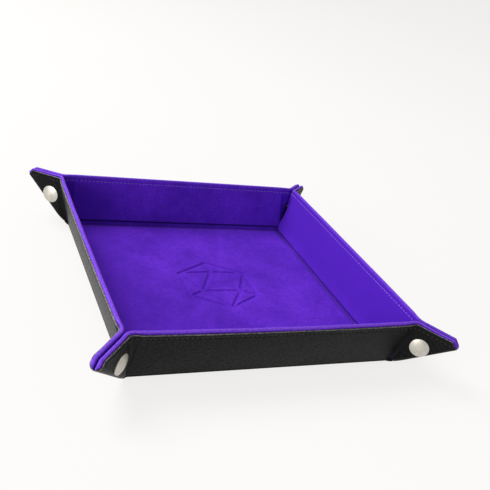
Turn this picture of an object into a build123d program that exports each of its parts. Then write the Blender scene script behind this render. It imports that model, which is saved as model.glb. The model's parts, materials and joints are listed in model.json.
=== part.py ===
# Folding dice tray: a square leatherette sheet lined with velvet. Four creases let four boarded walls
# fold up from the floor, and each corner of the sheet is pinched into a fin that a snap holds shut.
# +Z is up, the origin is under the middle of the floor, and the front wall faces -Y.
import os
from math import atan, cos, radians, sin, sqrt, tan

from build123d import *

# Driving dimensions, in millimetres and degrees
floor_side = 178.0        # crease to crease
wall_height = 38.0        # measured up the slope of a wall
lean = 16.4               # how far each wall leans outward from upright
leather = 0.9             # outer leatherette
core = 1.6                # greyboard in the floor and walls, foam in the corners
velvet = 0.9              # lining
lining_gap = 0.8          # between the velvet faces of a pinched corner
tip_chamfer = 9.0         # cut off each corner of the flat sheet, measured along its edges
floor_board_inset = 6.5   # floor crease to the floor board
wall_board_inset = 3.0    # floor crease to a wall board
board_end_inset = 1.5     # corner crease to the end of a wall board
foam_inset = 1.0          # gusset foam from the crease and from its lower edge
gusset_lift = 2.5         # lowest point of a pinched corner above the table
clearance = 0.05          # at a panel's edge that meets a crease
lip_clearance = 0.1       # between a gusset's leather lip and its lining
fold_gap = 0.7            # fold line to the leather lip, so that the halves pass as a corner opens
lip_end = 1.5             # diagonal of the tray to the end of the leather lip

# Snaps, one to a corner, with a domed cap on both outer faces
snap_along = 24.5         # floor corner to the snap, along the fold
snap_above = 7.8          # fold to the snap
cap_diameter = 12.5
cap_height = 1.8
cap_edge = 0.5            # straight edge under the dome
post_diameter = 3.0
post_hole_diameter = 3.1
seat_depth = 2.1          # leather face to the seat of the socket or stud
pocket_diameter = 11.0    # opening in the lining round the snap
socket_diameter = 10.2
socket_height = 2.2
recess_diameter = 4.6
recess_depth = 1.7
stud_diameter = 9.5
stud_flange = 0.8
stub_diameter = 3.7
stub_height = 1.8

half_side = floor_side / 2
sheet = leather + core + velvet
rise = sin(radians(lean))
run = cos(radians(lean))
mitre_angle = (90 - lean) / 2                  # the floor and a wall share the corner between them
mitre = tan(radians(mitre_angle))
pinch = sheet + lining_gap / 2                 # leather face of a fin to the diagonal of the tray
crease_offset = sqrt(2) * pinch                # floor corner to the foot of a corner crease
crease_foot = half_side - crease_offset        # foot of a corner crease, from the middle of its wall
crease_slope = rise                            # sideways step of a corner crease for each unit up
fin_tilt = atan(sqrt(2) * tan(radians(lean))) - atan(rise)

walls = ["front", "right", "back", "left"]
os.makedirs("parts", exist_ok=True)


def finish(name, part):
    """Label a finished piece and write it."""
    part.label = name
    export_step(part, f"parts/{name}.step")


def turned(x, y, z, turns):
    """A point or direction of the front side, carried round to another side."""
    return Vector(x, y, z).rotate(Axis.Z, 90 * turns)


def wall_plane(turns, depth=0):
    """Outer face of a wall: X along the wall, Y up its slope, moved inward by depth."""
    face = Plane(
        origin=turned(0, -half_side, 0, turns),
        x_dir=turned(1, 0, 0, turns),
        z_dir=turned(0, -run, -rise, turns),
    )
    return face.offset(-depth)


def gusset_plane(end, turns, depth=0):
    """Outer face of half a fin, with the foot of its crease at the origin and X, Y as on its wall.

    end is 1 for the half at the right end of its wall, seen from outside, and -1 for the left.
    """
    level = cos(fin_tilt) / sqrt(2)
    face = Plane(
        origin=turned(end * crease_foot, -half_side, 0, turns),
        x_dir=turned(end * level, -level, -sin(fin_tilt), turns),
        z_dir=turned(-1, -end, 0, turns),
    )
    return face.offset(-end * depth)


def inset(outline, distances):
    """A counter-clockwise outline with each side moved inward by its own distance."""
    sides = []
    for here, there, distance in zip(outline, outline[1:] + outline[:1], distances):
        along = (there - here).normalized()
        inward = Vector(-along.Y, along.X)
        sides.append((here + inward * distance, along))
    corners = []
    for (first, along), (second, beside) in zip(sides[-1:] + sides[:-1], sides):
        gap = second - first
        reach = (gap.X * beside.Y - gap.Y * beside.X) / (along.X * beside.Y - along.Y * beside.X)
        corners.append(first + along * reach)
    return corners


# Floor: leather, a square board glued in the middle, and velvet. The edges are mitred so that
# the walls fold up against them.
floor_layers = {"floor_leather": (0, leather), "floor_velvet": (leather + core, velvet)}
for name, (height, thickness) in floor_layers.items():
    with BuildPart() as layer:
        with BuildSketch(Plane.XY.offset(height)):
            Rectangle(floor_side - 2 * mitre * height, floor_side - 2 * mitre * height)
        extrude(amount=thickness, taper=mitre_angle)
    finish(name, layer.part)

with BuildPart() as floor_board:
    with BuildSketch(Plane.XY.offset(leather)):
        RectangleRounded(floor_side - 2 * floor_board_inset, floor_side - 2 * floor_board_inset, 2)
    extrude(amount=core)
finish("floor_board", floor_board.part)

# Walls: the sides of a wall's outline run from the floor crease round the right end and the rim
# to the left end.
wall_top = crease_foot + crease_slope * wall_height
wall_outline = [
    Vector(-crease_foot, 0),
    Vector(crease_foot, 0),
    Vector(wall_top, wall_height),
    Vector(-wall_top, wall_height),
]
past = -5.0  # moves a side of a pocket well outside the panel, so that the pocket is open there


def build_wall(wall, turns):
    """The three layers of a wall, with the velvet turned over the top edge of the board."""
    foot = wall_plane(turns)
    to_wall = turned(0, -run * mitre - rise, run - rise * mitre, turns).normalized()
    mitre_plane = Plane(origin=foot.origin + to_wall * clearance, x_dir=foot.x_dir, z_dir=to_wall)

    with BuildPart() as wall_leather:
        with BuildSketch(wall_plane(turns)):
            Polygon(inset(wall_outline, [0, clearance, 0, clearance]), align=None)
        extrude(amount=-leather)
        split(bisect_by=mitre_plane, keep=Keep.TOP)
    finish(f"{wall}_wall_leather", wall_leather.part)

    with BuildPart() as wall_velvet:
        with BuildSketch(wall_plane(turns, leather)):
            Polygon(inset(wall_outline, [0, clearance, 0, clearance]), align=None)
        extrude(amount=-core - velvet)
        with BuildSketch(wall_plane(turns, leather)):
            Polygon(inset(wall_outline, [past, past, velvet, past]), align=None)
        extrude(amount=-core, mode=Mode.SUBTRACT)
        split(bisect_by=mitre_plane, keep=Keep.TOP)
    finish(f"{wall}_wall_velvet", wall_velvet.part)

    board_insets = [wall_board_inset, board_end_inset, velvet, board_end_inset]
    with BuildPart() as wall_board:
        with BuildSketch(wall_plane(turns, leather)):
            Polygon(inset(wall_outline, board_insets), align=None)
        extrude(amount=-core)
    finish(f"{wall}_wall_board", wall_board.part)


# Gussets: the sides of a gusset's outline run from its lower edge along the fold, the chamfered
# tip and the rim to the crease that joins it to its wall.
crease_start = gusset_lift / (cos(fin_tilt) - crease_slope * sin(fin_tilt))
fold_start = (gusset_lift + crease_offset * sin(fin_tilt)) / (cos(fin_tilt) - sin(fin_tilt))
gusset_outline = [
    Vector(crease_slope * crease_start, crease_start),
    Vector(crease_offset + fold_start, fold_start),
    Vector(crease_offset + wall_height - tip_chamfer / 2, wall_height - tip_chamfer / 2),
    Vector(crease_offset + wall_height - tip_chamfer, wall_height),
    Vector(crease_slope * wall_height, wall_height),
]
foam_fold_inset = fold_gap + pinch + lip_clearance
lip_inside = pinch - leather
lining_depth = lining_gap / 2 + velvet
velvet_fold_inset = fold_gap + pinch - sqrt(lip_inside ** 2 - lining_depth ** 2) + lip_clearance
snap_centre = Vector(
    crease_offset + (snap_along - snap_above) / sqrt(2),
    (snap_along + snap_above) / sqrt(2),
)


def build_gusset(name, end, turns):
    """Half a fin: leather that wraps round the fold in a lip, foam, and velvet turned at the rim."""
    face = gusset_plane(end, turns)
    away_from_fold = (face.y_dir - face.x_dir).normalized()
    fold_plane = Plane(
        origin=face.from_local_coords(Vector(crease_offset, 0, 0)) + away_from_fold * fold_gap,
        x_dir=away_from_fold,
        z_dir=face.x_dir + face.y_dir,
    )
    fold_length = 2 * wall_height
    across = 2 * wall_height

    with BuildPart() as gusset_leather:
        with BuildSketch(face):
            Polygon(inset(gusset_outline, [0, fold_gap, 0, 0, clearance]), align=None)
        extrude(amount=-end * (pinch - lip_end))
        with BuildSketch(fold_plane):
            with BuildLine():
                Polyline((across, -end * leather), (across, 0), (pinch, 0))
                TangentArc((pinch, 0), (0, -end * pinch), tangent=(-1, 0))
                Line((0, -end * pinch), (leather, -end * pinch))
                TangentArc((leather, -end * pinch), (pinch, -end * leather), tangent=(0, end))
                Line((pinch, -end * leather), (across, -end * leather))
            make_face()
        extrude(amount=fold_length, mode=Mode.INTERSECT)
        with BuildSketch(face):
            with Locations(snap_centre):
                Circle(post_hole_diameter / 2)
        extrude(amount=-end * leather, mode=Mode.SUBTRACT)
    finish(f"{name}_leather", gusset_leather.part)

    foam_insets = [foam_inset, foam_fold_inset, velvet, velvet, foam_inset]
    with BuildPart() as gusset_foam:
        with BuildSketch(gusset_plane(end, turns, leather)):
            Polygon(inset(gusset_outline, foam_insets), align=None)
            with Locations(snap_centre):
                Circle(post_hole_diameter / 2, mode=Mode.SUBTRACT)
        extrude(amount=-end * core)
        with BuildSketch(gusset_plane(end, turns, seat_depth)):
            with Locations(snap_centre):
                Circle(pocket_diameter / 2)
        extrude(amount=-end * sheet, mode=Mode.SUBTRACT)
    finish(f"{name}_foam", gusset_foam.part)

    with BuildPart() as gusset_velvet:
        with BuildSketch(gusset_plane(end, turns, leather)):
            Polygon(inset(gusset_outline, [0, foam_fold_inset, 0, 0, clearance]), align=None)
            Polygon(
                inset(gusset_outline, [past, past, velvet, velvet, past]),
                align=None,
                mode=Mode.SUBTRACT,
            )
        extrude(amount=-end * core)
        with BuildSketch(gusset_plane(end, turns, leather + core)):
            Polygon(inset(gusset_outline, [0, velvet_fold_inset, 0, 0, clearance]), align=None)
            with Locations(snap_centre):
                Circle(pocket_diameter / 2, mode=Mode.SUBTRACT)
        extrude(amount=-end * velvet)
    finish(f"{name}_velvet", gusset_velvet.part)


def build_snap(name, end, turns):
    """One side of a snap: a domed cap whose post holds a socket or a stud inside the fin."""
    face = gusset_plane(end, turns)
    centre = face.from_local_coords(snap_centre)
    profile_plane = Plane(origin=centre, x_dir=face.x_dir, z_dir=face.y_dir * -end)
    middle = Axis(centre, profile_plane.y_dir)

    with BuildPart() as cap:
        with BuildSketch(profile_plane):
            with BuildLine():
                Polyline(
                    (0, cap_height),
                    (0, -seat_depth),
                    (post_diameter / 2, -seat_depth),
                    (post_diameter / 2, 0),
                    (cap_diameter / 2, 0),
                    (cap_diameter / 2, cap_edge),
                )
                TangentArc((0, cap_height), (cap_diameter / 2, cap_edge), tangent=(1, 0))
            make_face()
        revolve(axis=middle)
    finish(f"{name}_snap_cap", cap.part)

    seat = gusset_plane(end, turns, seat_depth)
    if end == 1:
        with BuildPart() as socket:
            with BuildSketch(seat):
                with Locations(snap_centre):
                    Circle(socket_diameter / 2)
            extrude(amount=-socket_height)
            with BuildSketch(seat.offset(-socket_height)):
                with Locations(snap_centre):
                    Circle(recess_diameter / 2)
            extrude(amount=recess_depth, mode=Mode.SUBTRACT)
        finish(f"{name}_snap_socket", socket.part)
    else:
        with BuildPart() as stud:
            with BuildSketch(seat):
                with Locations(snap_centre):
                    Circle(stud_diameter / 2)
            extrude(amount=stud_flange)
            with BuildSketch(seat.offset(stud_flange)):
                with Locations(snap_centre):
                    Circle(stub_diameter / 2)
            extrude(amount=stub_height)
        finish(f"{name}_snap_stud", stud.part)


for turns, wall in enumerate(walls):
    build_wall(wall, turns)
    for end in (1, -1):
        neighbour = walls[(turns + end) % len(walls)]
        name = f"{wall}_{neighbour}_gusset"
        build_gusset(name, end, turns)
        build_snap(f"{wall}_{neighbour}", end, turns)
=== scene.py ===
import json
import math

import bmesh
import bpy
import numpy as np
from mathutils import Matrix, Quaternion, Vector


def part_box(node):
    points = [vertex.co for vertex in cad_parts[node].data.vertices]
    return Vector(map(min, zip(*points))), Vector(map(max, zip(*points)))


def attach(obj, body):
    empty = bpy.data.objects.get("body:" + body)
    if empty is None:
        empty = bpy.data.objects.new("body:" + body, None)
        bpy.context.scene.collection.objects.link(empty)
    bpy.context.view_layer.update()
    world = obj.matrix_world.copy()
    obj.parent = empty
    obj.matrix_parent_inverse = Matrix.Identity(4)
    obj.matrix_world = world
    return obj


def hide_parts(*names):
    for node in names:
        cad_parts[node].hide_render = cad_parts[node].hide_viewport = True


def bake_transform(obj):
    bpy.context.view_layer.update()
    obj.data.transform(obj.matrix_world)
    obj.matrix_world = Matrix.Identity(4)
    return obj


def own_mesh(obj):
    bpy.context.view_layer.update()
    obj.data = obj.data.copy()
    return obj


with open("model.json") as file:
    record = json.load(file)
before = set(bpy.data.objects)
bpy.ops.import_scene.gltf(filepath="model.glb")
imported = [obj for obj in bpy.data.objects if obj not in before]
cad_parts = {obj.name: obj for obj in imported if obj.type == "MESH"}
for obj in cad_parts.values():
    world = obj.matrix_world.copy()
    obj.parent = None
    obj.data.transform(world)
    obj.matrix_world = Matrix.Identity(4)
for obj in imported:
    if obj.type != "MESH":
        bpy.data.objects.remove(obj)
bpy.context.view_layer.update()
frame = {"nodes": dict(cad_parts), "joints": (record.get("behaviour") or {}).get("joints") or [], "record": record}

# ---------------------------------------------------------------- Leatherette under the floor
# Black polyurethane leatherette with a fine pebbled grain: one square sheet makes the whole outside of
# the tray. This middle part lies under the floor board and is glued to it.
mm = 0.001
sides = ["front", "right", "back", "left"]
joints = {joint["name"]: joint for joint in frame["joints"]}
floor_crease = joints["front_wall_fold"]
half = -floor_crease["pos_m"][1]                  # middle of the tray to the crease of a wall
sheet_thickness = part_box("floor_velvet")[1].z     # leatherette, board and velvet together
leather_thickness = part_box("floor_leather")[1].z


def smooth(t):
    t = np.clip(t, 0, 1)
    return t * t * (3 - 2 * t)


def mesh_piece(name, points, faces, material, sharp=50):
    """A smooth-shaded mesh with its faces turned outward."""
    mesh = bpy.data.meshes.new(name)
    mesh.from_pydata(np.asarray(points).reshape(-1, 3).tolist(), [], faces)
    made = bmesh.new()
    made.from_mesh(mesh)
    bmesh.ops.recalc_face_normals(made, faces=made.faces)
    made.to_mesh(mesh)
    made.free()
    mesh.polygons.foreach_set("use_smooth", [True] * len(mesh.polygons))
    mesh.set_sharp_from_angle(angle=math.radians(sharp))
    mesh.materials.append(material)
    piece = bpy.data.objects.new(name, mesh)
    bpy.context.scene.collection.objects.link(piece)
    return piece


def plate(name, lines, face, back, material):
    """A closed square plate: face gives the height at each crossing of the lines, back is flat."""
    count = len(lines)
    x, y = np.meshgrid(lines, lines, indexing="ij")
    points = np.stack([x, y, face], axis=-1).reshape(-1, 3)
    border = [i * count for i in range(count)] + [(count - 1) * count + j for j in range(1, count)]
    border += [i * count + count - 1 for i in range(count - 2, -1, -1)] + list(range(count - 2, 0, -1))
    rim = points[border] * [1, 1, 0] + [0, 0, back]
    points = np.concatenate([points, rim, [[0, 0, back]]])
    first, around, middle = count * count, len(border), len(points) - 1
    faces = [
        [i * count + j, (i + 1) * count + j, (i + 1) * count + j + 1, i * count + j + 1]
        for i in range(count - 1)
        for j in range(count - 1)
    ]
    for k in range(around):
        after = (k + 1) % around
        faces.append([border[k], first + k, first + after, border[after]])
        faces.append([first + k, middle, first + after])
    return mesh_piece(name, points, faces, material)


def unevenness(x, up, seed, height):
    """The slight waviness of a glued sheet, a few centimetres from crest to crest."""
    long_waves = np.sin(x * 71 + seed) * np.cos(up * 93 + seed * 2.3)
    short_waves = 0.6 * np.sin(x * 151 - up * 120 + seed * 3.1)
    return height * (long_waves + short_waves) / 1.6


class Wire:
    """A shader socket that sums and products can be written with. make() adds any other node."""

    def __init__(self, tree, socket=None):
        self.tree = tree
        self.socket = socket

    def make(self, kind, settings=None, inputs=None, output=0):
        node = self.tree.nodes.new(kind)
        for name, value in (settings or {}).items():
            setattr(node, name, value)
        for name, value in (inputs or {}).items():
            if isinstance(value, Wire):
                self.tree.links.new(value.socket, node.inputs[name])
            else:
                node.inputs[name].default_value = value
        return Wire(self.tree, node.outputs[output])

    def maths(self, operation, *terms):
        return self.make("ShaderNodeMath", {"operation": operation}, dict(enumerate(terms)))

    def __add__(self, other):
        return self.maths("ADD", self, other)

    __radd__ = __add__

    def __sub__(self, other):
        return self.maths("SUBTRACT", self, other)

    def __rsub__(self, other):
        return self.maths("SUBTRACT", other, self)

    def __mul__(self, other):
        return self.maths("MULTIPLY", self, other)

    __rmul__ = __mul__

    def ramp(self, low, high):
        """0 below low and 1 above high, smooth between."""
        kind = {"interpolation_type": "SMOOTHSTEP"}
        return self.make("ShaderNodeMapRange", kind, {"Value": self, "From Min": low, "From Max": high})

    def mix(self, low, high):
        """The colour low where this is 0 and high where it is 1."""
        return self.make("ShaderNodeMix", {"data_type": "RGBA"}, {0: self, 6: low, 7: high}, 2)

    def noise(self, scale, detail=3.0, roughness=0.55):
        inputs = {"Vector": self, "Scale": scale, "Detail": detail, "Roughness": roughness}
        return self.make("ShaderNodeTexNoise", None, inputs)

    def cells(self, scale, feature="F1", smoothness=0.4):
        inputs = {"Vector": self, "Scale": scale}
        if feature == "SMOOTH_F1":
            inputs["Smoothness"] = smoothness
        return self.make("ShaderNodeTexVoronoi", {"feature": feature}, inputs)

    def bump(self, distance, strength=1.0):
        inputs = {"Height": self, "Distance": distance, "Strength": strength}
        return self.make("ShaderNodeBump", None, inputs)


def new_material(name):
    """A new material, its surface shader and a wire carrying places on the piece."""
    material = bpy.data.materials.new(name)
    material.use_nodes = True
    tree = material.node_tree
    shader = tree.nodes["Principled BSDF"]
    return material, shader, Wire(tree).make("ShaderNodeTexCoord", output=3)


def finish_surface(shader, **looks):
    """Sets the shader's sockets, from wires or from constants."""
    for name, value in looks.items():
        socket = shader.inputs[name.replace("_", " ")]
        if isinstance(value, Wire):
            shader.id_data.links.new(value.socket, socket)
        else:
            socket.default_value = value


def leatherette_material():
    material, shader, place = new_material("leatherette")
    pebbles = place.cells(1150, "SMOOTH_F1", 0.5)
    fine = place.noise(3200, 2.0)
    patches = place.noise(38, 3.0)
    worn = place.noise(420, 4.0, 0.7)
    grain = 1 - pebbles.ramp(0.05, 0.75)
    dark, light = (0.0060, 0.0062, 0.0064, 1), (0.0150, 0.0155, 0.0153, 1)
    colour = (grain * 0.55 + patches * 0.45).ramp(0.15, 0.85).mix(dark, light)
    normal = (grain * 0.8 + fine * 0.25).bump(0.00018, 0.8)
    roughness = 0.20 + 0.22 * worn + 0.10 * patches - 0.05 * grain
    finish_surface(shader, Base_Color=colour, Roughness=roughness, Normal=normal)
    finish_surface(shader, Specular_IOR_Level=0.035)
    return material


leatherette = leatherette_material()
leather_foot = -0.8 * mm    # the leatherette of a wall starts this far in on the floor
floor_lines = np.linspace(-half - leather_foot, half + leather_foot, 61)
grid_x, grid_y = np.meshgrid(floor_lines, floor_lines, indexing="ij")
from_edge = 1 - np.maximum(np.abs(grid_x), np.abs(grid_y)) / (half + leather_foot)
underside = np.maximum(unevenness(grid_x, grid_y, 0.7, 0.06 * mm), 0) * smooth(from_edge * 8)
piece = plate("floor_leatherette", floor_lines, underside, leather_thickness, leatherette)
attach(piece, "base")
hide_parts("floor_leather")
2 * half
2 * half

# ---------------------------------------------------------------- Leatherette on the walls
# The same sheet turned up at four creases. Each wall is glued to its board and trimmed a little below
# the velvet that rolls over the rim, so its grey cut edge shows, with the stitches just under it.
ratios = {pair["joint"]: pair["ratio"] for pair in frame["record"]["behaviour"]["couplings"]}
corner_crease = joints["front_right_gusset_fold"]
wall_turn = math.radians(floor_crease["range_deg"][1])
gusset_turn = wall_turn * ratios["front_right_gusset_fold"]
wall_height = (-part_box("front_wall_leather")[0].y - half) / math.cos(wall_turn)
to_diagonal = np.array([1.0, 1.0, 0]) / math.sqrt(2)
diagonal_gap = 0.05 * mm    # between the two halves of a corner, on the tray's diagonal


def span_across(foot, way, low, high):
    """The start and the end of a soft bend, measured from its hinge."""
    return np.array(foot) + way * low, np.array(foot) + way * high


foot_way = np.array([0, -1.0, 1.0]) / math.sqrt(2)
leather_foot_span = span_across(floor_crease["pos_m"], foot_way, -0.5 * mm, 0.9 * mm)
corner_dip = math.radians(10.5)
corner_way = np.array([1.0, -1.0, 0]) / math.sqrt(2) * math.cos(corner_dip)
corner_way[2] = -math.sin(corner_dip)
corner_foot = np.array(corner_crease["pos_m"])
board_end = (np.array([half, -half, 0]) - corner_foot) @ corner_way
leather_corner_span = span_across(corner_foot, corner_way, board_end, board_end + 6.3 * mm)
board_end_slope = 0.031     # the end of a wall's flat part comes in by this much for each unit up


def turn_about(points, joint, angle):
    """Points turned about a hinge, each by its own angle."""
    axis = np.array(joint["axis"]) / np.linalg.norm(joint["axis"])
    arm = points - np.array(joint["pos_m"])
    cosine, sine = np.cos(angle)[..., None], np.sin(angle)[..., None]
    along = (arm @ axis)[..., None] * axis
    return np.array(joint["pos_m"]) + arm * cosine + np.cross(axis, arm) * sine + along * (1 - cosine)


def bend(points, joint, angle, span):
    start, way = span[0], span[1] - span[0]
    share = np.ones(points.shape[:-1])
    for _ in range(60):
        bent = turn_about(points, joint, -angle * share)
        share = (share + smooth((bent - start) @ way / (way @ way))) / 2
    return turn_about(points, joint, -angle * share)


def fold(x, up, depth, foot_span, corner_span=None):
    """Where points of the flat front side lie on the snapped tray, kept off the diagonals.

    On the flat sheet x runs along the wall, up from its crease, and depth in from the leatherette.
    """
    points = np.stack(np.broadcast_arrays(x, -half - up, depth), axis=-1).astype(float)
    points = bend(points, floor_crease, wall_turn, foot_span)
    if corner_span:
        points = bend(points, corner_crease, gusset_turn, corner_span)
    for way in (to_diagonal, to_diagonal * [-1, 1, 1]):
        over = np.maximum(points @ way + diagonal_gap, 0)
        points = points - over[..., None] * way
    return points


def placed(points, side, mirrored=False):
    """Points of the front side carried round to another side, mirrored for its left end."""
    x, y, z = np.moveaxis(np.asarray(points, float), -1, 0)
    if mirrored:
        x = -x
    cosine, sine = round(math.cos(side * math.pi / 2)), round(math.sin(side * math.pi / 2))
    return np.stack([cosine * x - sine * y, sine * x + cosine * y, z], axis=-1)


def swept(name, rings, material):
    """A closed mesh through rings of points, each a closed loop, with a face at both ends."""
    count, loop = rings.shape[:2]
    faces = [
        [i * loop + j, i * loop + (j + 1) % loop, (i + 1) * loop + (j + 1) % loop, (i + 1) * loop + j]
        for i in range(count - 1)
        for j in range(loop)
    ]
    faces.append(list(range(loop)))
    faces.append([(count - 1) * loop + j for j in range(loop)])
    return mesh_piece(name, rings, faces, material)


def cut_edge_material():
    material, shader, place = new_material("leatherette_cut_edge")
    fibre = place.noise(1300, 4.0, 0.7)
    colour = fibre.ramp(0.38, 0.62).mix((0.035, 0.034, 0.034, 1), (0.25, 0.24, 0.225, 1))
    normal = fibre.bump(0.00006, 0.5)
    finish_surface(shader, Base_Color=colour, Roughness=0.75 + 0.1 * fibre, Normal=normal)
    return material


cut_edge = cut_edge_material()
stitch_inset = 3.9 * mm     # rim to the stitch row
leather_top = 1.35 * mm     # rim to the leatherette's cut edge
edge_round = 0.16 * mm


def leather_face(up):
    """How far the stitches pull the leatherette in."""
    pull, width = 0.28 * mm, 0.55 * mm
    return pull * np.exp(-(((up - (wall_height - stitch_inset)) / width) ** 2))


leather_ups = np.concatenate([
    np.arange(leather_foot, 1.6 * mm, 0.3 * mm),
    np.arange(1.8 * mm, wall_height - 6.2 * mm, 1.2 * mm),
    np.arange(wall_height - 5.9 * mm, wall_height - leather_top - edge_round, 0.25 * mm),
])
quarter = np.linspace(0, math.pi / 2, 4)
outer_corner = wall_height - leather_top - edge_round + edge_round * np.sin(quarter)
leather_profile = np.concatenate([
    np.stack([leather_ups, leather_face(leather_ups)], axis=-1),
    np.stack([outer_corner, edge_round - edge_round * np.cos(quarter)], axis=-1),
    np.stack([outer_corner[::-1], leather_thickness - edge_round + edge_round * np.sin(quarter)], axis=-1),
    [[wall_height - reach * mm, leather_thickness] for reach in (3, 9, 17, 27, 33, 36, 37.5)],
    [[leather_foot, leather_thickness]],
])
edge_faces = range(len(leather_ups), len(leather_ups) + 2 * len(quarter) - 1)
rim_bows = {"front": 0.9, "right": 0.5, "back": 0.6, "left": 0.5}     # mm, outward in the middle
swells = {"front": 0.35, "right": 0.2, "back": 0.2, "left": 0.55}     # mm, outward at half height


def bowed(x, up, wall):
    """How far a wall stands outward of flat: its rim bows, and its face swells a little."""
    middle = np.clip(1 - (x / half) ** 2, 0, 1)
    level = np.clip(up / wall_height, 0, 1)
    rim_bow = rim_bows[wall] * middle * smooth(level)
    swell = swells[wall] * middle ** 0.4 * np.sin(math.pi * level)
    return mm * (rim_bow + swell)


def wall_rings(profile, foot_span, wall, seed, slope, inset=0.0, wave=0.12):
    """The profile swept along a wall, from one end of its flat part to the other."""
    across = np.linspace(-1, 1, 151)[:, None]
    up, depth = profile[None, :, 0], profile[None, :, 1]
    x = across * (half - slope * np.maximum(up, 0) - inset + np.minimum(up, 0))
    lift = unevenness(x, up, seed, wave * mm) * smooth(up / (6 * mm))
    return fold(x, up, depth - bowed(x, up, wall) + lift * (1 - across ** 8), foot_span)


def recolour(piece, material, rings, loop, strip):
    """A second material on the strip of faces that starts at the given points of each ring."""
    piece.data.materials.append(material)
    for i in range(rings - 1):
        for j in strip:
            piece.data.polygons[i * loop + j].material_index = 1


for side, wall in enumerate(sides):
    rings = wall_rings(leather_profile, leather_foot_span, wall, side + 1.3, board_end_slope, wave=0.10)
    piece = swept(f"{wall}_leatherette", placed(rings, side), leatherette)
    recolour(piece, cut_edge, *rings.shape[:2], edge_faces)
    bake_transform(piece)
    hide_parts(f"{wall}_wall_leather")
    2 * half

# ---------------------------------------------------------------- Corner leatherette
# The corner squares of the sheet fold in two along the diagonal and close into a fin. Each half bends
# softly off the end of its wall. Under the fin the leatherette rolls round the fold in a lip, which rises
# from a soft root and, at the floor corner, from a narrow tongue of the sheet.
tip_chamfer = 9 * mm
pinch = -(corner_foot @ to_diagonal)          # face of a fin to the tray's diagonal
snap_along, snap_above = 24.5 * mm, 7.8 * mm  # floor corner to the snap along the fold, and above it
rim_end = np.array([wall_height - tip_chamfer, wall_height])
tip = np.array([wall_height - tip_chamfer / 2, wall_height - tip_chamfer / 2])
tip_reach = (wall_height + rim_end[0]) / math.sqrt(2)   # floor corner to the chamfered edge


def corner_outline(slope):
    """Places on the free edge of a corner half from the wall to the fold, and each one's reach."""
    round_off = 1.0 * mm
    chamfer_way = (tip - rim_end) / np.linalg.norm(tip - rim_end)
    start = -slope * wall_height
    evenly = np.linspace(start + 1.2 * mm, rim_end[0] - round_off, 27)
    along = np.concatenate([[start, start + 0.35 * mm], evenly])
    rim = np.stack([along, np.full_like(along, wall_height)], axis=-1)
    t = np.linspace(0, 1, 6)[1:, None]
    before, after = rim[-1], rim_end + chamfer_way * round_off
    bend_round = before * (1 - t) ** 2 + rim_end * 2 * t * (1 - t) + after * t ** 2
    chamfer = after + (tip - after) * np.linspace(0, 1, 12)[1:, None]
    places = np.concatenate([rim, bend_round, chamfer])
    steps = np.concatenate([np.zeros(len(rim)), t[:, 0], np.ones(len(chamfer))])
    return places, wall_height + (tip_reach - wall_height) * smooth(steps)


def corner_layout(profile, fold_inset, slope, first=0):
    """Where the profile lies on the flat corner, as rays from the floor corner to the free edge."""
    places, reaches = corner_outline(slope)
    places, reaches = places[first:, None, :], reaches[first:, None]
    up, depth = profile[None, :, 0], profile[None, :, 1]
    near_rim = smooth((up - 10 * mm) / (16 * mm))
    share = (1 - near_rim) * up / wall_height + near_rim * (1 - (wall_height - up) / reaches)
    spot = share[..., None] * places
    along = (spot[..., 0] + spot[..., 1]) / math.sqrt(2)
    above = (spot[..., 1] - spot[..., 0]) / math.sqrt(2)
    depth = np.broadcast_to(depth, along.shape).copy()
    room = np.minimum((1 + slope) / (1 - slope) * along, math.sqrt(2) * wall_height - along)
    above = above + fold_inset(along, depth) * (1 - above / np.maximum(room, 0.01 * mm))
    return along, above, depth


def corner_fold(along, above, depth, foot_span, corner_span):
    x, up = half + (along - above) / math.sqrt(2), (along + above) / math.sqrt(2)
    return fold(x, up, depth, foot_span, corner_span)


def from_snap(along, above):
    return np.hypot(along - snap_along, above - snap_above)


def past_board(along, above):
    """How far beyond the end of the wall board a place is."""
    return (along - above) / math.sqrt(2) + board_end_slope * (along + above) / math.sqrt(2)


fin_rise = 14 * mm     # along the fold, over which a fin comes up to its full width


def lip_width(along, depth=None):
    """How much of the leatherette beside the fold is in the rolled lip."""
    return pinch * smooth((along + 1.5 * mm) / fin_rise)


cap_radius = 6.25 * mm
corner_start = 0.2 * mm     # a corner half starts this far up from the floor corner
gusset_leather_profile = np.concatenate([
    leather_profile[leather_profile[:, 0] > corner_start],
    [[2 * corner_start, leather_thickness]],
])
first_edge = int((leather_ups > corner_start).sum())
gusset_edge_faces = range(first_edge, first_edge + 2 * len(quarter) - 1)


def gusset_leather_rings(seed):
    along, above, depth = corner_layout(gusset_leather_profile, lip_width, board_end_slope)
    outer = depth < 0.5 * leather_thickness
    low = np.minimum(along / fin_rise, 1)
    past = past_board(along, above)
    step = smooth(past / (0.5 * mm)) * np.exp(-np.maximum(past, 0) / (2.6 * mm))
    ring = np.exp(-(((from_snap(along, above) - cap_radius - 1.3 * mm) / (1.3 * mm)) ** 2))
    depth += outer * (0.26 * mm * step - 0.24 * mm * ring) * low
    depth += unevenness(along * 1.6, above * 1.6, seed, 0.16 * mm) * outer * smooth(past / (6 * mm))
    return corner_fold(along, above, depth, leather_foot_span, leather_corner_span)


lip_thickness = 0.5 * mm
root_reach = np.linspace(0.15 * mm, 12.5 * mm, 26)      # the part that bends with the corner
lip_reach = np.linspace(12 * mm, tip_reach - leather_top, 48)


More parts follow.
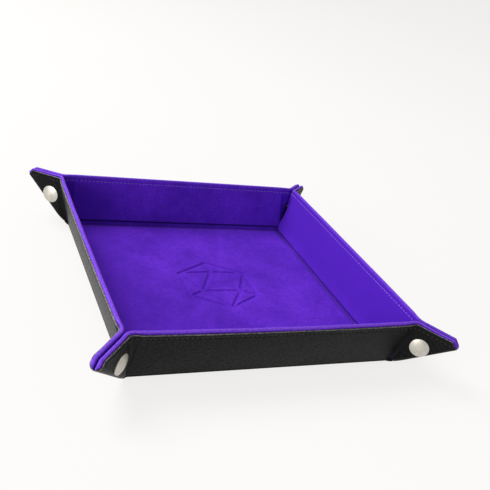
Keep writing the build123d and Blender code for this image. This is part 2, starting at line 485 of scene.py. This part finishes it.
def lip_rings(along):
    """The rolled lip: a quarter round from the face of the fin to the diagonal, along the fold."""
    face = corner_fold(along, lip_width(along), 0 * along, leather_foot_span, leather_corner_span)
    edge = corner_fold(along, 0 * along, 0 * along, leather_foot_span, leather_corner_span)
    near, level = (face @ to_diagonal)[:, None], face - (face @ to_diagonal)[:, None] * to_diagonal
    out = edge - (edge @ to_diagonal)[:, None] * to_diagonal - level
    thick = np.minimum(lip_thickness, -0.5 * near)
    width = np.linalg.norm(out, axis=-1, keepdims=True)
    rings = []
    for angle in np.linspace(0, math.pi / 2, 12):
        across = (near + diagonal_gap) * math.cos(angle) - diagonal_gap
        rings.append(level + out * math.sin(angle) + across * to_diagonal)
    for angle in np.linspace(math.pi / 2, 0, 12):
        across = (near + thick + diagonal_gap) * math.cos(angle) - diagonal_gap
        rings.append(level + out * (1 - thick / width) * math.sin(angle) + across * to_diagonal)
    return np.stack(rings, axis=1)


# The sheet keeps a narrow tongue at each floor corner, from which the fold of the corner rises.
tongue_run = np.linspace(-1.8, 3.6, 12) * mm            # out along the diagonal from the floor corner
tongue_half = 0.75 * mm * np.sqrt(1 - np.linspace(-0.97, 0.97, 12) ** 2)
tongue_lift = 0.12 * mm + 0.34 * np.maximum(tongue_run, 0)
tongue_thickness = 0.45 * mm
tongue_way, tongue_side = np.array([1, -1, 0]) / math.sqrt(2), np.array([1, 1, 0]) / math.sqrt(2)
tongue_rings = np.stack([
    [half, -half, 0] + tongue_run[:, None] * tongue_way + sign * tongue_half[:, None] * tongue_side
    + (tongue_lift + top * tongue_thickness)[:, None] * np.array([0, 0, 1])
    for sign, top in [(-1, 0), (1, 0), (1, 1), (-1, 1)]
], axis=1)


def corner_half(side, mirrored):
    """The name of the corner half at the right or, mirrored, at the left end of a wall."""
    return f"{sides[side]}_{sides[(side + (-1 if mirrored else 1)) % 4]}_gusset"


for side, wall in enumerate(sides):
    tongue = swept(f"{wall}_{sides[(side + 1) % 4]}_corner_tongue", placed(tongue_rings, side), leatherette)
    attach(tongue, "base")
    for mirrored in (False, True):
        body = corner_half(side, mirrored)
        rings = placed(gusset_leather_rings(side * 2.1 + mirrored), side, mirrored)
        piece = swept(f"{body}_leatherette", rings, leatherette)
        recolour(piece, cut_edge, *rings.shape[:2], gusset_edge_faces)
        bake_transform(piece)
        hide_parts(f"{body}_leather")
        root = swept(f"{body}_fold_root", placed(lip_rings(root_reach), side, mirrored), leatherette)
        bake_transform(root)
        lip = swept(f"{body}_fold_lip", placed(lip_rings(lip_reach), side, mirrored), leatherette)
        lip.data.materials.append(cut_edge)
        lip.data.polygons[-1].material_index = 1
        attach(lip, body)
        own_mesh(lip)

# ---------------------------------------------------------------- Boards and foam
# Greyboard stiffens the floor and the walls, and thin closed-cell foam pads fill the corner halves.
# They are glued to the leatherette before the velvet goes over them, so none of them shows.
def greyboard_material():
    material, shader, place = new_material("greyboard")
    fibre = place.noise(900, 5.0, 0.75)
    fleck = place.cells(500).ramp(0.02, 0.12)
    colour = (fibre * 0.8 + fleck * 0.2).mix((0.17, 0.155, 0.135, 1), (0.42, 0.40, 0.36, 1))
    normal = fibre.bump(0.00006, 0.5)
    finish_surface(shader, Base_Color=colour, Roughness=0.85 + 0.1 * fibre, Normal=normal)
    return material


def foam_material():
    material, shader, place = new_material("closed_cell_foam")
    cells = place.cells(1400, "SMOOTH_F1", 0.3)
    colour = cells.ramp(0.1, 0.7).mix((0.05, 0.05, 0.055, 1), (0.16, 0.16, 0.17, 1))
    normal = cells.bump(0.00015, 0.6)
    finish_surface(shader, Base_Color=colour, Roughness=0.8 + 0.1 * cells, Normal=normal)
    return material


greyboard, foam = greyboard_material(), foam_material()
board_gap = 0.06 * mm
board_low, board_high = leather_thickness + board_gap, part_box("floor_board")[1].z - board_gap
floor_board_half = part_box("floor_board")[1].x
corner_radius = 2.5 * mm
turns = np.linspace(0, math.pi / 2, 9)
rounded = np.stack([np.cos(turns), np.sin(turns), 0 * turns], axis=-1) * corner_radius
rounded += [floor_board_half - corner_radius, floor_board_half - corner_radius, 0]
outline = np.concatenate([placed(rounded, quarter_turn) for quarter_turn in range(4)])
edges = np.stack([outline + [0, 0, board_low], outline + [0, 0, board_high]])
piece = swept("floor_stiffener", edges, greyboard)
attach(piece, "base")
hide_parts("floor_board")


def slab_profile(ups):
    return np.concatenate([
        np.stack([ups, np.full_like(ups, board_low)], axis=-1),
        np.stack([ups[::-1], np.full_like(ups, board_high)], axis=-1),
    ])


board_profile = slab_profile(np.linspace(4.8 * mm, wall_height - 2.6 * mm, 14))
foam_profile = slab_profile(np.linspace(12 * mm, wall_height - 3 * mm, 12))
snap_seat = 2.0 * mm    # leatherette's face to the velvet that is nipped in the snap


def foam_inset(along, depth):
    return 5 * mm * smooth(along / (9 * mm))


def sunk_lining(along, above):
    """How far the lining sinks between the end of the wall board and the pad, most beside the snap."""
    up, past = (along + above) / math.sqrt(2), past_board(along, above)
    beside_snap = np.exp(-(((above - snap_above) / (4 * mm)) ** 2))
    pad_start = (3 + 6 * beside_snap) * mm
    sunk = smooth((past + 1.3 * mm) / (2.2 * mm)) * (1 - smooth((past - pad_start) / (4 * mm)))
    deepest = (1.45 + 0.6 * beside_snap) * mm
    return deepest * sunk * smooth(up / (6 * mm)) * smooth((wall_height - 4.2 * mm - up) / (7 * mm))


def foam_rings():
    """A pad that stops short of the crease and of the lip, and is pressed down under the snap."""
    along, above, depth = corner_layout(foam_profile, foam_inset, board_end_slope, first=10)
    room = sheet_thickness - sunk_lining(along, above) - 0.95 * mm
    room = np.where(from_snap(along, above) < 7.2 * mm, np.minimum(room, snap_seat - 0.3 * mm), room)
    depth = np.minimum(depth, np.maximum(room, board_low + 0.05 * mm * (depth > board_low)))
    return corner_fold(along, above, depth, leather_foot_span, leather_corner_span)


for side, wall in enumerate(sides):
    rings = wall_rings(
        board_profile,
        leather_foot_span,
        wall,
        side + 1.3,
        board_end_slope,
        inset=1.5 * mm,
        wave=0.10,
    )
    piece = swept(f"{wall}_board", placed(rings, side), greyboard)
    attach(piece, f"{wall}_wall")
    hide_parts(f"{wall}_wall_board")
    for mirrored in (False, True):
        body = corner_half(side, mirrored)
        piece = swept(f"{body}_pad", placed(foam_rings(), side, mirrored), foam)
        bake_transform(piece)
        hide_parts(f"{body}_foam")

# ---------------------------------------------------------------- Velvet on the floor
# Short-pile purple velvet, glued over the board and pressed down into a channel round it. The outline of
# a die is pressed into the middle.
def velvet_material():
    material, shader, place = new_material("velvet")
    # Painted light read from the mesh: above 0 a painted highlight, below 0 painted shade.
    bent = place.make("ShaderNodeAttribute", {"attribute_name": "painted_light"}, output=2)
    pile = place.noise(2600, 2.0, 0.6)
    tufts = place.noise(700, 3.0, 0.6)
    brushed = place.noise(26, 3.0, 0.55)
    smudges = place.noise(120, 4.0, 0.6)
    across = place.make("ShaderNodeSeparateXYZ", None, {"Vector": place})
    # Painted shade: the velvet is coloured darker towards the left wall, and on the right wall.
    painted_side_shade = across.ramp(-0.090, -0.035) - 1.4 * across.ramp(0.084, 0.090)
    nap = (brushed * 0.5 + smudges * 0.3 + tufts * 0.2).ramp(0.30, 0.70) * (0.35 + 0.65 * painted_side_shade)
    body = nap.mix((0.066, 0.0090, 0.385, 1), (0.142, 0.0240, 0.650, 1))
    body = (pile * 0.6 + tufts * 0.4).ramp(0.25, 0.6).mix((0.066, 0.0095, 0.36, 1), body)
    highlight_colour = tufts.ramp(0.25, 0.75).mix((0.125, 0.036, 0.50, 1), (0.20, 0.072, 0.68, 1))
    normal = (pile * 0.6 + tufts * 0.6).bump(0.00025, 0.5)
    # Painted highlight where the attribute is above 0, painted shade where it is below 0.
    colour = bent.ramp(0, 1).mix(body, highlight_colour)
    colour = (bent * -1).ramp(0, 1).mix(colour, (0.014, 0.0020, 0.085, 1))
    finish_surface(shader, Base_Color=colour, Roughness=0.92 - 0.1 * nap, Normal=normal)
    finish_surface(shader, Specular_IOR_Level=0.12, Sheen_Weight=0.22, Sheen_Roughness=0.35)
    finish_surface(shader, Sheen_Tint=(0.50, 0.25, 1.0, 1))
    return material


velvet = velvet_material()
channel = leather_thickness + 0.9 * mm      # top of the velvet where no board is under it
velvet_foot = -4.2 * mm                     # a wall's lining starts this far in on the floor


def mark_painted_light(piece, values):
    """Stores painted light on the velvet: a painted highlight up to 1, painted shade down to -1."""
    attribute = piece.data.attributes.new("painted_light", "FLOAT", "POINT")
    every = np.zeros(len(piece.data.vertices), dtype=np.float32)
    every[:len(values)] = values
    attribute.data.foreach_set("value", every)


channel_band, outline_band = 11 * mm, 33 * mm     # fine lines outside the one and inside the other
edge_lines = np.arange(half + velvet_foot, half - channel_band, -0.4 * mm)
outer_lines = np.arange(half - channel_band, outline_band, -1.1 * mm)
inner_lines = np.arange(outline_band, 0.2 * mm, -0.42 * mm)
lines = np.concatenate([edge_lines, outer_lines, inner_lines])
lines = np.concatenate([-lines, [0], lines[::-1]])
grid_x, grid_y = np.meshgrid(lines, lines, indexing="ij")
rounding = 4 * mm
beyond = np.stack([np.abs(grid_x), np.abs(grid_y)], axis=-1) - (half - 5.3 * mm - rounding)
past_corner = np.linalg.norm(np.maximum(beyond, 0), axis=-1)
from_channel = rounding - past_corner - np.minimum(beyond.max(axis=-1), 0)
floor_top = channel + (sheet_thickness - channel) * np.sqrt(smooth(from_channel / (2.2 * mm)))
floor_top += unevenness(grid_x, grid_y, 5.1, 0.10 * mm) * smooth((from_channel - 2 * mm) / (12 * mm))
# Painted highlight in a thin line along the rounded edge of the floor lining.
floor_edge_highlight = 0.45 * np.exp(-(((from_channel - 1.3 * mm) / (0.6 * mm)) ** 2))

# The pressed outline is a twenty-sided die seen face on: a hexagon, and a triangle whose corners run
# out to it.
die_radius, triangle_radius = 29 * mm, 16.5 * mm
line_half, line_slope, line_depth = 0.9 * mm, 0.8 * mm, 0.85 * mm
points_up = [np.array([math.sin(k * math.pi / 3), math.cos(k * math.pi / 3)]) for k in range(6)]
hexagon = [die_radius * point for point in points_up]
triangle = [triangle_radius * point for point in points_up[::2]]
strokes = [(hexagon[k], hexagon[(k + 1) % 6]) for k in range(6)]
strokes += [(triangle[k], triangle[(k + 1) % 3]) for k in range(3)]
strokes += [(triangle[k], hexagon[(2 * k + step) % 6]) for k in range(3) for step in (-1, 0, 1)]
spots = np.stack([grid_x, grid_y], axis=-1)
nearest = np.full(grid_x.shape, 1.0)
for start, end in strokes:
    way = end - start
    t = np.clip((spots - start) @ way / (way @ way), 0, 1)
    nearest = np.minimum(nearest, np.linalg.norm(spots - start - t[..., None] * way, axis=-1))
floor_top -= line_depth * (1 - smooth((nearest - line_half) / line_slope))

piece = plate("floor_velvet_lining", lines, floor_top, leather_thickness + 0.02 * mm, velvet)
mark_painted_light(piece, floor_edge_highlight.ravel())
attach(piece, "base")
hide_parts("floor_velvet")
(2 * half + 2 * velvet_foot,) * 2

# ---------------------------------------------------------------- Velvet on the walls and corners
# The lining runs on up the walls and out over the corner halves, and rolls over the rim in a soft bead
# that is painted lighter as a highlight. It sinks between the end of each wall board and the pad beyond it.
velvet_foot_span = span_across(floor_crease["pos_m"], foot_way, -1.5 * mm, 1.5 * mm)
velvet_corner_span = span_across(corner_foot, corner_way, board_end - 2.5 * mm, board_end + 8.7 * mm)
foot_steps = {"front": 2.4, "right": 1.2, "back": 3.8, "left": 2.4}     # mm, crease to the lined board
velvet_end_slope = 0.127
bead_centre = np.array([wall_height - 0.75 * mm, 2.0 * mm])
bead_size = np.array([0.95 * mm, 1.22 * mm])


def velvet_face(up, wall):
    """Depth of the velvet: low at the foot, over the board, nipped by the stitches, down to the bead."""
    step = np.sqrt(smooth((up - foot_steps[wall] * mm) / (1.3 * mm)))
    over_board = channel + (sheet_thickness - channel) * step
    past_row = up - (wall_height - stitch_inset)
    nip = 0.42 * mm * np.exp(-((past_row / (0.6 * mm)) ** 2))
    ease = (sheet_thickness - bead_centre[1] - bead_size[1]) * smooth(past_row / (3 * mm))
    return over_board - nip - ease


velvet_ups = np.concatenate([
    np.arange(velvet_foot, 6.0 * mm, 0.25 * mm),
    np.arange(6.4 * mm, wall_height - 6.6 * mm, 1.1 * mm),
    np.arange(wall_height - 6.4 * mm, bead_centre[0] - 0.1 * mm, 0.24 * mm),
])
round_over = np.linspace(0, 1.32 * math.pi, 19)
bead = bead_centre + bead_size * np.stack([np.sin(round_over), np.cos(round_over)], axis=-1)
near_crease = np.arange(6.0 * mm, -3.0 * mm, -0.7 * mm)     # so that the lining's back bends too
back_of_lining = leather_thickness + 0.05 * mm


def velvet_profile(wall):
    return np.concatenate([
        np.stack([velvet_ups, velvet_face(velvet_ups, wall)], axis=-1),
        bead,
        [[wall_height - reach * mm, back_of_lining] for reach in (2.2, 3, 9, 17, 27)],
        [[up, back_of_lining] for up in near_crease],
        [[velvet_foot, leather_thickness]],
    ])


gusset_velvet_profile = velvet_profile("back")
gusset_velvet_profile = np.concatenate([
    gusset_velvet_profile[gusset_velvet_profile[:, 0] > 2.3 * mm],
    [[2.4 * mm, leather_thickness]],
])


def painted_light_on(profile, rings, step_at):
    """Painted highlight on the bead and a little in the channel; painted shade, below 0, in a line over the
    crease.
    """
    up, depth = profile[:, 0], profile[:, 1]
    rings, heights = len(rings), rings[..., 2].ravel()
    on_bead = smooth((up - (wall_height - 2.0 * mm)) / (0.9 * mm)) * (depth > leather_thickness)
    bent = on_bead * (0.45 + 0.55 * smooth((up - bead_centre[0]) / bead_size[0]))
    in_channel = (up < 8 * mm) * (1 - smooth((depth - channel) / (0.3 * mm)))
    bent = np.tile(bent + 0.2 * in_channel, rings)
    # Painted shade: a dark line along the foot of each wall, over the crease.
    lined = np.tile((depth > leather_thickness) & (up > 0), rings)
    crease_shade = lined * np.exp(-(((heights - step_at - 1.3 * mm) / (1.0 * mm)) ** 2))
    return bent * (1 - crease_shade) - crease_shade


def velvet_inset(along, depth):
    """How far the velvet stops short of the fold, so that it sits inside the rolled lip."""
    width = np.minimum(lip_width(along), pinch)
    radius = pinch - lip_thickness - 0.1 * mm
    across = np.clip((pinch - depth) / radius, 0, 0.999)
    hole = 0.8 * mm * smooth((along - 40 * mm) / (6 * mm)) * (depth < 0.7 * sheet_thickness)
    foot = 1.1 * mm * (1 - smooth((along - 3 * mm) / (6 * mm)))
    return np.maximum(width * (1 - radius / pinch * np.sqrt(1 - across ** 2)) + hole, 0.1 * mm) + foot


def gusset_velvet_rings():
    along, above, depth = corner_layout(gusset_velvet_profile, velvet_inset, velvet_end_slope)
    face = depth > leather_thickness + 0.6 * mm
    away = from_snap(along, above)
    depth -= face * sunk_lining(along, above)
    depth -= face * 0.7 * mm * np.clip(1 - above / (1.8 * mm), 0, 1) ** 2
    depth -= face * 0.25 * mm * np.exp(-(((away - 6 * mm) / (2.2 * mm)) ** 2))
    pocket = snap_seat + (sheet_thickness - snap_seat) * smooth((away - 5.6 * mm) / (1.0 * mm))
    depth = np.where(face & (away < 6.6 * mm), np.minimum(depth, pocket), depth)
    return corner_fold(along, above, depth, velvet_foot_span, velvet_corner_span)


for side, wall in enumerate(sides):
    profile = velvet_profile(wall)
    rings = wall_rings(profile, velvet_foot_span, wall, side + 4.2, velvet_end_slope)
    piece = swept(f"{wall}_velvet_lining", placed(rings, side), velvet)
    mark_painted_light(piece, painted_light_on(profile, rings, foot_steps[wall] * mm))
    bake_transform(piece)
    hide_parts(f"{wall}_wall_velvet")
    2 * half
    wall_height - velvet_foot
    for mirrored in (False, True):
        body = corner_half(side, mirrored)
        rings = placed(gusset_velvet_rings(), side, mirrored)
        piece = swept(f"{body}_velvet_lining", rings, velvet)
        mark_painted_light(piece, painted_light_on(gusset_velvet_profile, rings, foot_steps[wall] * mm))
        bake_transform(piece)
        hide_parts(f"{body}_velvet")

# ---------------------------------------------------------------- Stitching
# A row of lockstitch runs all round under the rim: purple thread on the velvet, black on the
# leatherette. Each stitch is a short bow of thread that dips into the sheet at both ends.
def thread_material(name, dark, light):
    material, shader, place = new_material(name)
    twist = place.noise(4200, 2.0, 0.5)
    colour = twist.ramp(0.35, 0.65).mix(dark, light)
    normal = twist.bump(0.00005, 0.5)
    finish_surface(shader, Base_Color=colour, Roughness=0.55 + 0.15 * twist, Normal=normal)
    finish_surface(shader, Sheen_Weight=0.2, Sheen_Roughness=0.4)
    return material


purple_thread = thread_material("purple_thread", (0.17, 0.07, 0.52, 1), (0.33, 0.17, 0.76, 1))
black_thread = thread_material("black_thread", (0.008, 0.008, 0.009, 1), (0.03, 0.03, 0.032, 1))
stitch_pitch, stitch_length = 3.0 * mm, 2.35 * mm
thread_radius = 0.23 * mm
bow_steps, thread_sides = 7, 6


def thread_bows(starts, ways, surface, outward):
    """The places on the flat sheet, and the depths, of the points of each stitch's tube."""
    s = np.linspace(0, 1, bow_steps)
    bow = 0.36 * mm * np.sin(math.pi * s) ** 0.6 - 0.20 * mm
    size = thread_radius * (0.75 + 0.25 * np.sin(math.pi * s))
    angle = np.linspace(0, 2 * math.pi, thread_sides, endpoint=False)
    centre = starts[:, None, :] + ways[:, None, :] * (s * stitch_length)[None, :, None]
    beside = np.stack([-ways[:, 1], ways[:, 0]], axis=-1)
    ring = beside[:, None, None, :] * (size[:, None] * np.cos(angle))[None, :, :, None]
    flat = centre[:, :, None, :] + ring
    depth = surface + outward * (bow[:, None] + size[:, None] * np.sin(angle))
    return flat[..., 0], flat[..., 1], np.broadcast_to(depth[None], flat.shape[:3])


def thread_piece(name, points, material):
    """One mesh of separate closed tubes, one to a stitch."""
    faces = []
    for stitch in range(len(points)):
        first = stitch * bow_steps * thread_sides
        for i in range(bow_steps - 1):
            for j in range(thread_sides):
                a, b = first + i * thread_sides + j, first + i * thread_sides + (j + 1) % thread_sides
                faces.append([a, b, b + thread_sides, a + thread_sides])
        faces.append([first + j for j in range(thread_sides)])
        faces.append([first + (bow_steps - 1) * thread_sides + j for j in range(thread_sides)])
    return mesh_piece(name, points, faces, material, sharp=80)


def corner_stitches(slope):
    """Starts and directions of the stitches along a corner half."""
    places, reaches = corner_outline(slope)
    row = places * (1 - stitch_inset / reaches)[:, None]
    run = np.concatenate([[0], np.cumsum(np.linalg.norm(np.diff(row, axis=0), axis=-1))])
    starts = np.arange(0.3 * mm, run[-1] - stitch_length - 1.8 * mm, stitch_pitch)
    starts, ends = (
        np.stack([np.interp(distance, run, row[:, k]) for k in (0, 1)], axis=-1)
        for distance in (starts, starts + stitch_length)
    )
    return starts, (ends - starts) / np.linalg.norm(ends - starts, axis=-1, keepdims=True)


row_up = wall_height - stitch_inset
rows = [
    ("inside", velvet_face(row_up, "front"), 1, velvet_foot_span, velvet_corner_span, velvet_end_slope),
    ("outside", leather_face(row_up), -1, leather_foot_span, leather_corner_span, board_end_slope),
]
for row, surface, outward, foot_span, corner_span, slope in rows:
    thread, slot = (purple_thread, "velvet") if row == "inside" else (black_thread, "leatherette")
    count = int(2 * (half - slope * row_up) / stitch_pitch)
    x = (np.arange(count) - count / 2) * stitch_pitch
    starts = np.stack([x, np.full_like(x, row_up)], axis=-1)
    for side, wall in enumerate(sides):
        x, up, depth = thread_bows(starts, np.tile([1.0, 0.0], (count, 1)), surface, outward)
        points = fold(x, up, depth - bowed(x, up, wall), foot_span)
        piece = thread_piece(f"{wall}_stitches_{row}", placed(points, side), thread)
        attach(piece, f"{wall}_wall")
        x, up, depth = thread_bows(*corner_stitches(slope), surface, outward)
        for mirrored in (False, True):
            body = corner_half(side, mirrored)
            points = placed(fold(half + x, up, depth, foot_span, corner_span), side, mirrored)
            piece = thread_piece(f"{body}_stitches_{row}", points, thread)
            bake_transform(piece)

# ---------------------------------------------------------------- Snaps
# Nickel-plated brass snaps: a domed cap on both outer faces of each fin, and a socket and a stud that
# meet inside it. The plating is satin, with fine rub marks and a slightly warm tone.
def nickel_material():
    material, shader, place = new_material("nickel")
    cloud = place.noise(260, 3.0, 0.6)
    rub = place.noise(2400, 4.0, 0.7)
    pits = place.cells(900).ramp(0.03, 0.10)
    colour = (cloud * 0.6 + rub * 0.4).ramp(0.3, 0.7).mix((0.50, 0.475, 0.425, 1), (0.64, 0.61, 0.55, 1))
    roughness = 0.36 + 0.16 * cloud + 0.08 * rub
    normal = (rub * 0.4 + pits * 0.5).bump(0.00004, 0.4)
    finish_surface(shader, Base_Color=colour, Roughness=roughness, Normal=normal, Metallic=1.0)
    return material


nickel = nickel_material()
for name, node in frame["nodes"].items():
    if "_snap_" in name:
        node.data.materials[0] = nickel
        node.data.polygons.foreach_set("use_smooth", [True] * len(node.data.polygons))
        node.data.set_sharp_from_angle(angle=math.radians(40))

# ---------------------------------------------------------------- Table, light and camera
# A plain pale table that glows a little, so the shadows on it stay faint, and two soft window lights:
# one behind on the left and a weaker one low on the left. The camera is tipped to the side and looks
# down over the front wall from its left end.
def table_material():
    material, shader, place = new_material("table")
    tone = place.noise(2.0, 2.0).mix((0.14, 0.1395, 0.139, 1), (0.16, 0.1595, 0.159, 1))
    finish_surface(shader, Base_Color=tone, Roughness=0.9, Specular_IOR_Level=0.0)
    finish_surface(shader, Emission_Color=(1.0, 0.99, 0.975, 1), Emission_Strength=0.80)
    return material


table_corners = [[-9, -9, 0], [9, -9, 0], [9, 9, 0], [-9, 9, 0]]
table = mesh_piece("table", table_corners, [[0, 1, 2, 3]], table_material())

world = bpy.data.worlds.new("surroundings")
world.use_nodes = True
world.node_tree.nodes["Background"].inputs["Color"].default_value = (1.0, 0.995, 0.985, 1)
world.node_tree.nodes["Background"].inputs["Strength"].default_value = 0.42
bpy.context.scene.world = world


def area_light(name, place, size, power, colour):
    light = bpy.data.lights.new(name, "AREA")
    light.size, light.energy, light.color = size, power, colour
    lamp = bpy.data.objects.new(name, light)
    lamp.location = place
    lamp.rotation_mode = "QUATERNION"
    lamp.rotation_quaternion = (-Vector(place)).to_track_quat("-Z", "Y")
    bpy.context.scene.collection.objects.link(lamp)


area_light("window_behind", (-0.85, 0.80, 1.30), 1.0, 30, (1.0, 0.99, 0.97))
area_light("window_on_the_left", (-1.3, -0.50, 0.30), 0.7, 11, (1.0, 0.99, 0.98))

view_azimuth, view_elevation, view_roll = (math.radians(angle) for angle in (-29.04, 26.06, 14.94))
aim = Vector((0.535 * half, 0.713 * half, 0))
distance = 6.41 * half
back = Vector((
    math.sin(view_azimuth) * math.cos(view_elevation),
    -math.cos(view_azimuth) * math.cos(view_elevation),
    math.sin(view_elevation),
))
camera = bpy.data.objects.new("camera", bpy.data.cameras.new("camera"))
camera.data.sensor_width, camera.data.lens = 36, 52.03
camera.location = aim + back * distance
camera.rotation_mode = "QUATERNION"
camera.rotation_quaternion = (-back).to_track_quat("-Z", "Y") @ Quaternion((0, 0, 1), view_roll)
bpy.context.scene.collection.objects.link(camera)
bpy.context.scene.camera = camera
bpy.context.scene.view_settings.view_transform = "Standard"
